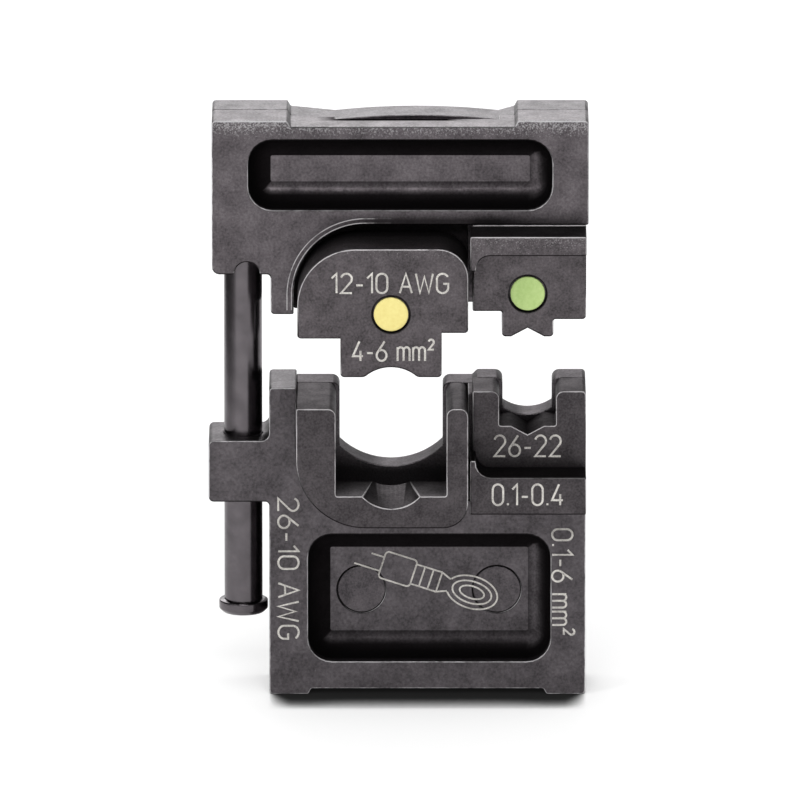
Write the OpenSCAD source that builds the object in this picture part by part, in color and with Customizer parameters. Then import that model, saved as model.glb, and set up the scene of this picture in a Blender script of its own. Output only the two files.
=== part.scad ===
// Crimp die insert: a lower die with two nests and an upper die with two punches,
// kept in line by a guide pin on the left. Millimetres, front view along +Y.
// Origin: centre of the bounding box in X and Y, floor under the feet at Z = 0.
// Depths are measured forward from the common rear face of both dies.

/* [Depths from the rear face] */
// Thickness of the lower back plate
lower_back_t = 2.8; // [2.0:0.1:3.6]
// Depth of the lower body front
lower_t = 6.3; // [5.4:0.1:7.2]
// Thickness of the upper back plate
upper_back_t = 3.3; // [2.6:0.1:4.0]
// Depth of the upper body front and of the two small crimping faces
upper_t = 7.4; // [6.4:0.1:8.8]
// Depth of the strips beside the small crimping faces
strip_t = 10.8; // [9.4:0.1:11.4]
// Depth of the large nest and the large punch, the overall depth
block_t = 11.6; // [11.0:0.1:14.0]
// Length of the front crimping zone of the large nest and punch
zone_t = 4.9; // [4.0:0.1:5.9]

/* [Lower die widths] */
// Width of the body column left of the large nest
column_w = 2.15; // [1.8:0.05:3.0]
// Width of the left post of the large nest
large_post_l = 3.1; // [2.4:0.05:4.0]
// Opening of the large nest
large_w = 8.67; // [7.2:0.01:10.5]
// Width of the right post of the large nest
large_post_r = 1.7; // [1.4:0.05:2.4]
// Gap between the large and the small blocks
block_gap = 0.35; // [0.3:0.05:0.8]
// Width of the left post of the small nest
small_post_l = 2.1; // [1.7:0.05:2.8]
// Opening of the small nest
small_w = 4.44; // [3.8:0.01:5.6]
// Width of the right post of the small nest
small_post_r = 2.36; // [1.7:0.02:2.8]

/* [Lower die heights] */
// Height of the lower body under the small nest
shelf_z = 15.7; // [15.2:0.1:17.0]
// Height of the large nest floor
large_floor_z = 17.4; // [17.0:0.1:19.5]
// Material of the large nest under its floor
large_web = 2.6; // [2.2:0.1:3.0]
// Depth of the large nest from the post tops to its floor
large_depth = 7.05; // [6.2:0.05:8.6]
// Floor of the relief behind the front zone, below the nest floor
relief_drop = 1.6; // [0.8:0.1:1.7]
// Rise of the small nest posts over the large ones
small_rise = 0.4; // [0.2:0.05:0.5]
// Rise of the body column over the large nest posts
column_rise = 0.38; // [0.1:0.02:0.5]
// Depth of the small nest from the post tops to its floor
small_depth = 2.8; // [2.4:0.1:3.3]
// Depth of the large rear nest from the post tops to its lowest point
rear_large_depth = 6.8; // [6.0:0.05:8.3]
// Radius of the large rear nest
rear_large_r = 5.8; // [5.2:0.1:7.5]
// Depth of the small rear nest from the post tops to its lowest point
rear_small_depth = 3.0; // [2.6:0.05:3.5]
// Radius of the small rear nest
rear_small_r = 3.4; // [3.0:0.1:4.5]
// Inset of each rear nest wall from the front nest wall
rear_inset = 0.28; // [0.1:0.02:0.4]
// Height of the strip under the small nest
strip_h = 3.0; // [2.5:0.1:3.6]
// Rounding where the strip rises beside the large nest
strip_fillet = 1.2; // [0.8:0.1:1.6]

/* [Nest profiles] */
// Width of the scoop in the large nest floor at the front
scoop_w = 4.5; // [3.5:0.1:5.4]
// Depth of the scoop at the front
scoop_h = 1.0; // [0.6:0.1:1.2]
// Width of the scoop at the rear of the front zone
scoop_rear_w = 2.9; // [2.4:0.1:3.4]
// Depth of the scoop at the rear of the front zone
scoop_rear_h = 0.3; // [0.2:0.05:0.5]
// Width of the vee in the small nest floor
vee_w = 2.6; // [2.0:0.1:2.8]
// Depth of the vee
vee_h = 0.7; // [0.4:0.05:0.8]
// Lower left corner radius of the large nest
nest_r_left = 5.45; // [4.6:0.05:5.9]
// Lower right corner radius of the large nest
nest_r_right = 1.95; // [1.6:0.05:2.3]
// Rounding of the nest mouths
mouth_r = 0.6; // [0.3:0.05:0.7]

/* [Feet and lower pocket] */
// Width of each foot of the lower body
foot_w = 3.3; // [2.6:0.1:4.0]
// Depth of the recess between the feet, and of the one in the top
tab_h = 0.45; // [0.3:0.05:0.6]
// Left margin of the lower pocket
pocket_left = 3.05; // [2.6:0.05:3.6]
// Right margin of the lower pocket
pocket_right = 2.75; // [2.4:0.05:3.3]
// Bottom margin of the lower pocket
pocket_bottom = 2.65; // [2.2:0.05:3.2]
// Rib between the lower pocket and the large nest
pocket_rib = 1.85; // [1.5:0.05:2.3]
// Depth of the lower pocket
lower_pocket_t = 3.0; // [2.4:0.1:3.1]
// Corner radius of both pockets
pocket_r = 1.9; // [1.6:0.1:2.2]
// Fillet at the pocket floors
pocket_fillet = 1.75; // [1.2:0.05:1.9]

/* [Lug and guide pin] */
// Reach of the lug from the lower body side
lug_reach = 4.75; // [4.3:0.05:5.6]
// Height of the lug underside
lug_z = 15.6; // [14.5:0.1:17.0]
// Height of the lug
lug_h = 4.95; // [4.2:0.05:5.8]
// Diameter of the guide pin
pin_d = 3.0; // [2.5:0.05:3.3]
// Distance of the pin axis from the lower body side
pin_off = 2.05; // [1.9:0.05:2.3]
// Depth of the pin axis from the rear face
pin_t = 3.3; // [2.9:0.05:3.6]
// Radial running clearance of the pin in the lug
pin_clear = 0.04; // [0.02:0.01:0.08]
// Travel of the upper die from rest before the pin head meets the lug
pin_lift = 8.6; // [7.0:0.1:10.0]
// Length of the pin that is held between the upper plates
pin_grip = 6.5; // [5.0:0.1:6.8]
// Diameter of the pin head
head_d = 3.85; // [3.6:0.05:4.3]
// Height of the pin head
head_h = 1.0; // [0.8:0.1:1.3]
// Section diameter of the friction ring in the lug
ring_c = 0.9; // [0.7:0.1:1.0]

/* [Upper die] */
// Gap between the large shoulder and the post tops, as the dies stand apart
rest_gap = 5.6; // [4.9:0.05:7.0]
// Reach of the upper body to the left of the lower body side
wing_reach = 4.45; // [4.2:0.05:5.4]
// Reach of the upper body to the right of the lower body side
upper_over = 0.18; // [0.1:0.02:0.6]
// Underside of the wing above the large shoulder
wing_rise = 4.2; // [3.4:0.1:4.6]
// Underside of the leg beside the punch above the large shoulder
leg_rise = 1.0; // [0.8:0.1:1.4]
// Underside of the top bar above the large shoulder
bar_rise = 8.2; // [7.4:0.1:9.2]
// Height of the top bar
bar_h = 8.35; // [7.6:0.05:10.0]
// Radius of the recess above the large punch
recess_r = 5.65; // [5.0:0.05:6.1]
// Width of the left tab on top
tab_left = 6.15; // [5.2:0.05:7.2]
// Width of the right tab on top
tab_right = 5.8; // [5.0:0.05:6.8]
// Rise of the crowned top edge of the upper back plate from its ends to its middle
crown_h = 0.35; // [0.2:0.05:0.4]
// Width of the slot in the upper body in front of the crowned edge
crown_slot = 1.3; // [0.8:0.1:1.6]
// Side margins of the upper pocket
upper_margin = 2.85; // [2.4:0.05:3.3]
// Top margin of the upper pocket
upper_margin_top = 1.55; // [1.3:0.05:2.0]
// Bottom margin of the upper pocket
upper_margin_low = 1.2; // [1.0:0.05:1.5]
// Depth of the upper pocket
upper_pocket_t = 2.4; // [2.0:0.1:2.8]
// Radius of the relief under the wing, in front of the pin
wing_relief_r = 1.0; // [0.7:0.05:1.2]

/* [Punches] */
// Side clearance of the large punch nose in its nest
nose_clear = 0.37; // [0.2:0.01:0.45]
// Side clearance of the small punch nose in its nest
small_nose_clear = 0.2; // [0.15:0.01:0.3]
// Length of the large nose below its left shoulder
large_nose = 3.05; // [2.4:0.05:3.6]
// Rise of the right large shoulder over the left one
large_step = 0.45; // [0.2:0.05:0.7]
// Width of the arch in the large nose
arch_w = 4.15; // [3.4:0.05:4.8]
// Height of the arch in the large nose
arch_h = 0.8; // [0.5:0.05:1.0]
// Distance of the large punch from the recess edge above it
punch_gap = 0.95; // [0.7:0.05:1.2]
// Distance of the large punch from the leg beside it
punch_side = 0.3; // [0.1:0.05:0.4]
// Upper left corner radius of the large punch
punch_r_left = 4.55; // [3.9:0.05:5.0]
// Upper right corner radius of the large punch
punch_r_right = 2.35; // [1.9:0.05:2.8]
// Thickness of the large punch flange, which fills the recess of the upper body
flange_t = 2.1; // [1.6:0.1:2.6]
// Chamfer under the large shoulders
shoulder_bevel = 0.5; // [0.3:0.05:0.6]
// Left small shoulder above the left large shoulder
small_rise_l = 1.25; // [1.0:0.05:1.5]
// Right small shoulder above the left large shoulder
small_rise_r = 0.6; // [0.4:0.05:0.8]
// Length of the small nose below the left large shoulder
small_nose = 0.8; // [0.5:0.05:1.2]
// Height of the strip over the small punch
upper_strip_h = 1.7; // [1.4:0.1:2.0]
// Rounding where the strip falls beside the large punch
upper_strip_r = 1.1; // [0.8:0.1:1.4]

/* [Fasteners and colour marks] */
// Diameter of the lower rivets, flush in the pocket floor
rivet_d = 3.75; // [3.0:0.05:4.2]
// Height of the lower rivets
rivet_z = 7.75; // [7.0:0.05:8.4]
// Inset of each lower rivet from the pocket side
rivet_inset = 4.2; // [3.8:0.05:4.8]
// Diameter of the nest dowels
dowel_d = 1.0; // [0.8:0.1:1.1]
// Length of the nest dowels in from the rear face
dowel_l = 6.0; // [5.0:0.1:6.2]
// Diameter of the upper plate pins
stud_d = 1.6; // [1.2:0.1:1.7]
// Length of the upper plate pins in from the rear face
stud_l = 6.2; // [5.4:0.1:6.4]
// Diameter of the studs that carry the punches
dot_d = 2.95; // [2.4:0.05:3.1]
// Diameter of the enamel marks on the studs
enamel_d = 2.7; // [2.2:0.05:2.8]
// Thickness of the enamel marks
enamel_t = 0.35; // [0.25:0.05:0.5]
// Depth of each enamel mark below its punch face
enamel_sink = 0.08; // [0.04:0.02:0.12]
// Large stud above the left large shoulder
large_dot_rise = 2.0; // [1.6:0.05:2.2]
// Small stud above the left large shoulder
small_dot_rise = 2.65; // [2.5:0.05:3.0]

/* [Hidden] */
$fn = 64;

// Colours
blacked = "#4a484b";
blacked_dark = "#3a383b";
blacked_light = "#5a585b";
ring_black = "#1c1c1e";
enamel_yellow = "#f0e27c";
enamel_green = "#9fce68";

// Small edge roundings and slopes
edge_r = 0.3;
fine_r = 0.15;
lug_r = 0.4;
tab_slope = 0.25;
bevel_depth = 0.25;

// Small offsets and allowances
leg_inset = 0.15;
side_reach = 0.2;
strip_lip = 0.25;
relief_off = 0.35;
crown_inset_l = 3.5;
crown_inset_r = 1.25;
rear_arch_share = 0.7;
rear_large_arch_h = 1.3;
rear_small_arch_h = 0.5;
ring_gap = 0.01;
ring_play = 0.1;
over = 1;
thin = 0.01;
corner_steps = 6;
fillet_steps = 5;

// X places, from the middle of the lower body
body_w = column_w + large_post_l + large_w + large_post_r + block_gap
       + small_post_l + small_w + small_post_r;
body_l = -body_w / 2;
body_r = body_w / 2;
block_l = body_l + column_w;
large_x = block_l + large_post_l + large_w / 2;
block_r = large_x + large_w / 2 + large_post_r;
small_l = block_r + block_gap;
small_x = small_l + small_post_l + small_w / 2;
lug_l = body_l - lug_reach;
pin_x = body_l - pin_off;
upper_l = body_l - wing_reach;
upper_r = body_r + upper_over;
leg_l = body_l + leg_inset;
recess_l = block_l - side_reach;
punch_l = recess_l + punch_side;
strip_l = small_l - side_reach;
centre_x = (max(-lug_l, -upper_l) - max(upper_r, body_r)) / 2;
rear_y = block_t / 2;
crown_l = upper_l + tab_left + crown_inset_l;
crown_r = upper_r - tab_right - crown_inset_r;

// Heights
prong_z = large_floor_z + large_depth;
small_prong_z = prong_z + small_rise;
column_z = prong_z + column_rise;
block_z = large_floor_z - large_web;
small_floor_z = small_prong_z - small_depth;
lug_top = lug_z + lug_h;
upper_z = prong_z + rest_gap;
wing_z = upper_z + wing_rise;
leg_z = upper_z + leg_rise;
bar_z = upper_z + bar_rise;
top_z = bar_z + bar_h;
crown_low = top_z - tab_h - crown_h;
nose_z = upper_z - large_nose;
small_nose_z = upper_z - small_nose;
punch_top = bar_z - punch_gap;
strip_low = bar_z - upper_strip_h;
head_z = lug_z - pin_lift - head_h;
zone_d = block_t - zone_t;
flange_d = upper_back_t + flange_t;

// Fastener places, each [x, z]
dowel_drop = [4.1, 5.1, 4.6];
stud_inset = 1.5;
stud_drop = 2.0;
rivet_at = [[body_l + pocket_left + rivet_inset, rivet_z],
            [body_r - pocket_right - rivet_inset, rivet_z]];
dowel_at = [[block_l + large_post_l / 2, prong_z - dowel_drop[0]],
            [block_r - large_post_r / 2, prong_z - dowel_drop[1]],
            [small_l + small_post_l / 2, small_prong_z - dowel_drop[2]],
            [body_r - small_post_r / 2, small_prong_z - dowel_drop[2]]];
stud_at = [[upper_l + stud_inset, top_z - stud_drop],
           [upper_r - upper_margin / 2, bar_z + bar_h / 2]];
large_dot = [large_x, upper_z + large_dot_rise];
small_dot = [small_x, upper_z + small_dot_rise];

function unit(v) = v / norm(v);

// Points of the arc that rounds corner b between its neighbours a and c, radius b[2]
function corner(a, b, c) =
    let (p = [b.x, b.y], r = b[2])
    r == 0 ? [p] :
    let (u = unit([a.x, a.y] - p), v = unit([c.x, c.y] - p),
         half = acos(u * v) / 2,
         mid = p + unit(u + v) * r / sin(half),
         start = p + u * r / tan(half) - mid,
         first = atan2(start.y, start.x),
         sweep = (cross(u, v) < 0 ? 1 : -1) * (180 - 2 * half),
         steps = max(4, ceil(r * 4)))
    [for (i = [0 : steps]) mid + r * [cos(first + sweep * i / steps), sin(first + sweep * i / steps)]];

// Outline through corners [x, z, radius]
function outline(pts) =
    let (n = len(pts))
    [for (i = [0 : n - 1]) each corner(pts[(i + n - 1) % n], pts[i], pts[(i + 1) % n])];

// Arc from left to right over a chord w centred on x at height z; it rises by h, or sags by -h
function bow(x, z, w, h) =
    let (r = (w * w / 4 + h * h) / (2 * abs(h)), side = sign(h),
         mid = z + h - side * r, half = asin(w / 2 / r), steps = 16)
    [for (i = [-steps / 2 : steps / 2])
        let (a = half * i * 2 / steps) [x + r * sin(a), mid + side * r * cos(a), 0]];

// The same arc with its ends rounded by r into straight runs beside it
function soft_bow(x, z, w, h, r) =
    let (pts = bow(x, z, w, h), last = len(pts) - 1)
    [for (i = [0 : last]) [pts[i].x, pts[i].y, i == 0 || i == last ? r : 0]];

function reversed(pts) = [for (i = [len(pts) - 1 : -1 : 0]) pts[i]];

// Outline of a rectangle with one corner radius
function round_rect(x0, z0, x1, z1, r) = outline([[x0, z0, r], [x1, z0, r], [x1, z1, r], [x0, z1, r]]);

// The same with an even number of chords in each corner, for stacked outlines
function ring_points(x0, z0, x1, z1, r) =
    [for (i = [0 : 3], k = [0 : corner_steps])
        let (a = 90 * i + 90 * k / corner_steps)
        [(i == 0 || i == 3 ? x1 - r : x0 + r) + r * cos(a), (i < 2 ? z1 - r : z0 + r) + r * sin(a)]];

// Height of the ends of an arc of radius r and width w above its lowest point
function sag(w, r) = r - sqrt(r * r - w * w / 4);

// Solid of a front view outline between depths d0 and d1
module slab(d0, d1) {
    translate([centre_x, rear_y - d0, 0])
        rotate([90, 0, 0])
            linear_extrude(d1 - d0) children();
}

// Round bar along the depth
module rod(at, d, d0, d1) {
    translate([centre_x + at.x, rear_y - d0, at.y])
        rotate([90, 0, 0])
            cylinder(d = d, h = d1 - d0);
}

// Upright bar on the pin axis
module pin_bar(d, z0, z1) {
    translate([centre_x + pin_x, rear_y - pin_t, z0])
        cylinder(d = d, h = z1 - z0);
}

// Pocket cut into a face at depth d, t deep, with a fillet round its floor
module pocket(x0, z0, x1, z1, d, t) {
    hull()
        for (i = [0 : fillet_steps]) {
            a = 90 * i / fillet_steps;
            inset = pocket_fillet * (1 - cos(a));
            slab(d - t + pocket_fillet * (1 - sin(a)), d + over)
                polygon(ring_points(x0 + inset, z0 + inset, x1 - inset, z1 - inset, pocket_r - inset));
        }
}

// Recess between the feet, as a run of corners from left to right
feet = [[body_l + foot_w - tab_slope, 0, fine_r], [body_l + foot_w, tab_h, fine_r],
        [body_r - foot_w, tab_h, fine_r], [body_r - foot_w + tab_slope, 0, fine_r]];

// Recess between the top tabs, from right to left
top_recess = [[upper_r - tab_right + tab_slope, top_z, fine_r],
              [upper_r - tab_right, top_z - tab_h, fine_r],
              [upper_l + tab_left, top_z - tab_h, fine_r],
              [upper_l + tab_left - tab_slope, top_z, fine_r]];

// Outer outline of the large nest, open above the posts by rise
function large_block(rise) = outline([
    [block_l, block_z, nest_r_left], [block_r, block_z, nest_r_right],
    [block_r, prong_z + rise, rise > 0 ? 0 : mouth_r],
    [block_l, prong_z + rise, rise > 0 ? 0 : fine_r]]);

// Rounded lip of a nest mouth at height top: a quarter turn about x, clockwise from angle first
function lip(x, top, first) =
    [for (i = [0 : corner_steps])
        let (a = first - 90 * i / corner_steps)
        [x + mouth_r * cos(a), top - mouth_r + mouth_r * sin(a), 0]];

// Mouth of a nest of width w between its floor at z and the rounded post tops, as a cut
function mouth(x, w, z, top) = outline([
    [x - w / 2, z, fine_r], [x + w / 2, z, fine_r], each lip(x + w / 2 + mouth_r, top, 180),
    [x + w / 2 + mouth_r, top + over, 0], [x - w / 2 - mouth_r, top + over, 0],
    each lip(x - w / 2 - mouth_r, top, 90)]);

// Opening of a rear nest: its mouth and the arc of its floor
module rear_nest(x, w, depth, r, top) {
    rise = sag(w, r);
    polygon(mouth(x, w, top - depth + rise, top));
    polygon([for (p = concat(bow(x, top - depth + rise + thin, w, -rise), [[x, top, 0]])) [p.x, p.y]]);
}

module lower_body() {
    color(blacked)
    difference() {
        union() {
            slab(lower_back_t, lower_t) difference() {
                polygon(outline(concat(
                    [[body_l, 0, edge_r]], feet,
                    [[body_r, 0, edge_r], [body_r, shelf_z, 0],
                     [large_x, shelf_z, 0], [large_x, prong_z, 0],
                     [body_l, prong_z, edge_r]])));
                polygon(large_block(over));
            }
            slab(0, lower_t) polygon(outline([
                [body_l, 0, edge_r], [block_l, 0, 0], [block_l, column_z, fine_r],
                [body_l, column_z, edge_r], [body_l, lug_top, 2 * edge_r],
                [lug_l, lug_top, lug_r], [lug_l, lug_z, lug_r], [body_l, lug_z, edge_r]]));
        }
        pocket(body_l + pocket_left, pocket_bottom, body_r - pocket_right,
               block_z - pocket_rib, lower_t, lower_pocket_t);
        pin_bar(pin_d + 2 * pin_clear, lug_z - over, lug_top + over);
        pin_bar(pin_d + 2 * ring_gap + 2 * ring_c, lug_z + lug_h / 2 - ring_c / 2 - ring_play,
                lug_z + lug_h / 2 + ring_c / 2 + ring_play);
        for (at = rivet_at) rod(at, rivet_d, -over, lower_t);
    }
}

module lower_back_plate() {
    color(blacked_dark)
    difference() {
        slab(0, lower_back_t) difference() {
            polygon(outline([[block_l, 0, 0], each [for (p = feet) if (p.x > block_l) p],
                [body_r, 0, edge_r], [body_r, small_prong_z, edge_r],
                [small_l + small_rise, small_prong_z, edge_r], [small_l, prong_z, fine_r],
                [block_l, prong_z, 0]]));
            rear_nest(large_x, large_w - 2 * rear_inset, rear_large_depth, rear_large_r, prong_z);
            rear_nest(small_x, small_w - 2 * rear_inset, rear_small_depth, rear_small_r, small_prong_z);
        }
        for (at = rivet_at) rod(at, rivet_d, -over, lower_back_t + over);
        for (at = dowel_at) rod(at, dowel_d, -over, lower_back_t + over);
    }
}

module large_nest() {
    color(blacked)
    difference() {
        slab(lower_back_t, block_t) polygon(large_block(0));
        slab(lower_back_t - over, block_t + over)
            polygon(mouth(large_x, large_w, large_floor_z, prong_z));
        slab(lower_back_t - over, zone_d)
            polygon(round_rect(large_x - large_w / 2, large_floor_z - relief_drop,
                               large_x + large_w / 2, large_floor_z + over, edge_r));
        hull() {
            slab(block_t, block_t + over) scoop(scoop_w, scoop_h);
            slab(zone_d - thin, zone_d) scoop(scoop_rear_w, scoop_rear_h);
        }
        for (at = [dowel_at[0], dowel_at[1]]) rod(at, dowel_d, 0, dowel_l);
    }
}

// Profile of the scoop in the large nest floor, w wide and h deep
module scoop(w, h) {
    polygon([for (p = concat(bow(large_x, large_floor_z, w, -h), [[large_x, large_floor_z + over, 0]]))
                [p.x, p.y]]);
}

module small_nest() {
    color(blacked)
    difference() {
        union() {
            slab(lower_back_t, upper_t) polygon(outline([
                [small_l, shelf_z, 0], [body_r, shelf_z, 0],
                [body_r, small_prong_z, edge_r], [small_l, small_prong_z, fine_r]]));
            slab(lower_back_t, lower_t) polygon([
                [block_r, shelf_z], [small_l + small_post_l / 2, shelf_z],
                [small_l + small_post_l / 2, prong_z], [block_r, prong_z]]);
            slab(upper_t, strip_t) polygon(outline([
                [strip_l, shelf_z, 0], [body_r, shelf_z, 0],
                [body_r, shelf_z + strip_h, fine_r],
                [small_l + strip_lip, shelf_z + strip_h, strip_fillet],
                [small_l + strip_lip, shelf_z + strip_h + strip_fillet + fine_r, 0],
                [strip_l, shelf_z + strip_h + strip_fillet + fine_r, 0]]));
        }
        slab(lower_back_t - over, upper_t + over) {
            polygon(mouth(small_x, small_w, small_floor_z, small_prong_z));
            polygon([[small_x - vee_w / 2, small_floor_z], [small_x, small_floor_z - vee_h],
                     [small_x + vee_w / 2, small_floor_z], [small_x, small_floor_z + vee_h]]);
        }
        for (at = [dowel_at[2], dowel_at[3]]) rod(at, dowel_d, 0, dowel_l);
    }
}

module lower_rivets() {
    color(blacked_light)
    for (at = rivet_at) rod(at, rivet_d, 0, lower_t - lower_pocket_t);
}

module nest_dowels() {
    color(blacked_light)
    for (at = dowel_at) rod(at, dowel_d, 0, dowel_l);
}

module friction_ring() {
    color(ring_black)
    translate([centre_x + pin_x, rear_y - pin_t, lug_z + lug_h / 2])
        rotate_extrude()
            translate([pin_d / 2 + ring_gap + ring_c / 2, 0]) circle(d = ring_c, $fn = 32);
}

module upper_body() {
    color(blacked)
    difference() {
        slab(upper_back_t, upper_t) polygon(outline(concat(
            [[upper_l, wing_z, 2 * edge_r], [leg_l, wing_z, edge_r], [leg_l, leg_z, edge_r],
             [recess_l, leg_z, 0], [recess_l, bar_z, recess_r], [upper_r, bar_z, fine_r],
             [upper_r, top_z, edge_r]],
            top_recess, [[upper_l, top_z, edge_r]])));
        pocket(upper_l + upper_margin, bar_z + upper_margin_low, upper_r - upper_margin,
               top_z - upper_margin_top, upper_t, upper_pocket_t);
        slab(upper_back_t - over, upper_back_t + crown_slot) polygon([
            [crown_l, crown_low], [crown_r, crown_low], [crown_r, top_z], [crown_l, top_z]]);
        pin_bar(pin_d, wing_z - over, wing_z + pin_grip);
        rod([pin_x + relief_off, wing_z], 2 * wing_relief_r, pin_t, upper_t + over);
        for (at = stud_at) rod(at, stud_d, 0, stud_l);
    }
}

module upper_back_plate() {
    nose_w = large_w - 2 * rear_inset - 2 * nose_clear;
    small_nose_w = small_w - 2 * rear_inset - 2 * small_nose_clear;
    color(blacked_dark)
    difference() {
        slab(0, upper_back_t) polygon(outline(concat(
            [[upper_l, wing_z, 2 * edge_r], [leg_l, wing_z, edge_r], [leg_l, leg_z, edge_r],
             [large_x - nose_w / 2, leg_z, fine_r], [large_x - nose_w / 2, nose_z, edge_r]],
            bow(large_x, nose_z, nose_w * rear_arch_share, rear_large_arch_h),
            [[large_x + nose_w / 2, nose_z, edge_r], [large_x + nose_w / 2, leg_z, fine_r],
             [small_x - small_nose_w / 2, leg_z, fine_r],
             [small_x - small_nose_w / 2, small_nose_z, fine_r]],
            bow(small_x, small_nose_z, small_nose_w * rear_arch_share, rear_small_arch_h),
            [[small_x + small_nose_w / 2, small_nose_z, fine_r],
             [small_x + small_nose_w / 2, leg_z, fine_r], [body_r, leg_z, edge_r],
             [body_r, bar_z, 0], [upper_r, bar_z, fine_r], [upper_r, top_z, edge_r],
             top_recess[0], top_recess[1]],
            reversed(bow((crown_l + crown_r) / 2, crown_low, crown_r - crown_l, crown_h)),
            [top_recess[2], top_recess[3], [upper_l, top_z, edge_r]])));
        pin_bar(pin_d, wing_z - over, wing_z + pin_grip);
        for (at = stud_at) rod(at, stud_d, -over, upper_back_t + over);
        for (at = [large_dot, small_dot]) rod(at, dot_d, -over, upper_back_t + over);
    }
}

module large_punch() {
    nose_w = large_w - 2 * nose_clear;
    color(blacked)
    difference() {
        union() {
            slab(upper_back_t, flange_d) polygon(outline([
                [recess_l, leg_z, 0], [block_r, leg_z, 0],
                [block_r, bar_z, 0], [recess_l, bar_z, recess_r]]));
            slab(flange_d, zone_d) polygon(outline([
                [punch_l, upper_z, edge_r], [large_x, upper_z, 0],
                [large_x, upper_z + large_step, 0], [block_r, upper_z + large_step, edge_r],
                [block_r, punch_top, punch_r_right], [punch_l, punch_top, punch_r_left]]));
            slab(zone_d, block_t) polygon(outline(concat(
                [[punch_l, upper_z, edge_r], [large_x - nose_w / 2, upper_z, 0],
                 [large_x - nose_w / 2, nose_z, edge_r]],
                soft_bow(large_x, nose_z, arch_w, arch_h, mouth_r),
                [[large_x + nose_w / 2, nose_z, edge_r],
                 [large_x + nose_w / 2, upper_z + large_step, 0],
                 [block_r, upper_z + large_step, edge_r],
                 [block_r, punch_top, punch_r_right], [punch_l, punch_top, punch_r_left]])));
        }
        shoulder_cut(punch_l - over, large_x - nose_w / 2, upper_z, shoulder_bevel);
        shoulder_cut(large_x + nose_w / 2, block_r + over, upper_z + large_step, shoulder_bevel);
        rod(large_dot, dot_d, 0, block_t + over);
    }
}

// Chamfer along the front lower edge of a large shoulder between x0 and x1
module shoulder_cut(x0, x1, z, h) {
    translate([centre_x + x0, rear_y - block_t, z])
        rotate([90, 0, 90])
            linear_extrude(x1 - x0)
                polygon([[-thin, -thin], [bevel_depth, -thin], [bevel_depth, 0], [0, h], [-thin, h]]);
}

module small_punch() {
    nose_w = small_w - 2 * small_nose_clear;
    color(blacked)
    difference() {
        union() {
            slab(upper_back_t, upper_t) polygon(outline([
                [small_l, upper_z + small_rise_l, fine_r],
                [small_x - nose_w / 2, upper_z + small_rise_l, fine_r],
                [small_x - nose_w / 2, small_nose_z, edge_r],
                [small_x - vee_w / 2, small_nose_z, 0],
                [small_x, small_nose_z + vee_h, 0],
                [small_x + vee_w / 2, small_nose_z, 0],
                [small_x + nose_w / 2, small_nose_z, edge_r],
                [small_x + nose_w / 2, upper_z + small_rise_r, fine_r],
                [body_r, upper_z + small_rise_r, edge_r], [body_r, bar_z, 0], [small_l, bar_z, 0]]));
            slab(upper_t, strip_t) polygon(outline([
                [small_l + strip_lip, strip_low, upper_strip_r], [body_r, strip_low, fine_r],
                [body_r, bar_z - fine_r, fine_r], [strip_l, bar_z - fine_r, fine_r],
                [strip_l, strip_low - upper_strip_r - fine_r, 0],
                [small_l + strip_lip, strip_low - upper_strip_r - fine_r, 0]]));
        }
        rod(small_dot, dot_d, 0, upper_t + over);
    }
}

module plate_pins() {
    color(blacked_light)
    for (at = stud_at) rod(at, stud_d, 0, stud_l);
}

module punch_studs() {
    color(blacked_light) {
        rod(large_dot, dot_d, 0, block_t - enamel_sink - enamel_t);
        rod(small_dot, dot_d, 0, upper_t - enamel_sink - enamel_t);
    }
}

// Enamel disc on the end of a stud under a face at depth d
module enamel(at, d) {
    rod(at, enamel_d, d - enamel_sink - enamel_t, d - enamel_sink);
}

module yellow_mark() color(enamel_yellow) enamel(large_dot, block_t);

module green_mark() color(enamel_green) enamel(small_dot, upper_t);

// Guide pin with its head, which has a coned lower edge
module guide_pin() {
    color(blacked_light) {
        translate([centre_x + pin_x, rear_y - pin_t, head_z])
            cylinder(d1 = head_d - 2 * edge_r, d2 = head_d, h = edge_r);
        pin_bar(head_d, head_z + edge_r, head_z + head_h);
        pin_bar(pin_d, head_z + head_h / 2, wing_z + pin_grip);
    }
}

lower_body();
lower_back_plate();
large_nest();
small_nest();
lower_rivets();
nest_dowels();
friction_ring();
upper_body();
upper_back_plate();
large_punch();
small_punch();
plate_pins();
punch_studs();
yellow_mark();
green_mark();
guide_pin();
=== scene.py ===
"""Looks of a crimp die insert: two blackened steel dies on a guide pin."""
import math

import bmesh
import bpy
import numpy as np
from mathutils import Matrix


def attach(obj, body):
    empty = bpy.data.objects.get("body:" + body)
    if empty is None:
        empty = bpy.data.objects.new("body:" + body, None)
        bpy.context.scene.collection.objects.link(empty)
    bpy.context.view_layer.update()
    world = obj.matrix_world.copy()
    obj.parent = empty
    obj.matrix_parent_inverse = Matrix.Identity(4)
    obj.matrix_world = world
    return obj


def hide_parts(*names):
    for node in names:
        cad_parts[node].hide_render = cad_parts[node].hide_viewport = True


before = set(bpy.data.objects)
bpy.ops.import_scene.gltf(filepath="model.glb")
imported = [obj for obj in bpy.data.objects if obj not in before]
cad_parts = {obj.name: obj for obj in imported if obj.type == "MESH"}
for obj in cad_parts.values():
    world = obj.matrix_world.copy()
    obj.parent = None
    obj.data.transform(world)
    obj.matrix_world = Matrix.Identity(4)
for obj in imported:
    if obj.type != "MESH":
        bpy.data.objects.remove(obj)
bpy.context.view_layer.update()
MM = 0.001


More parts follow.
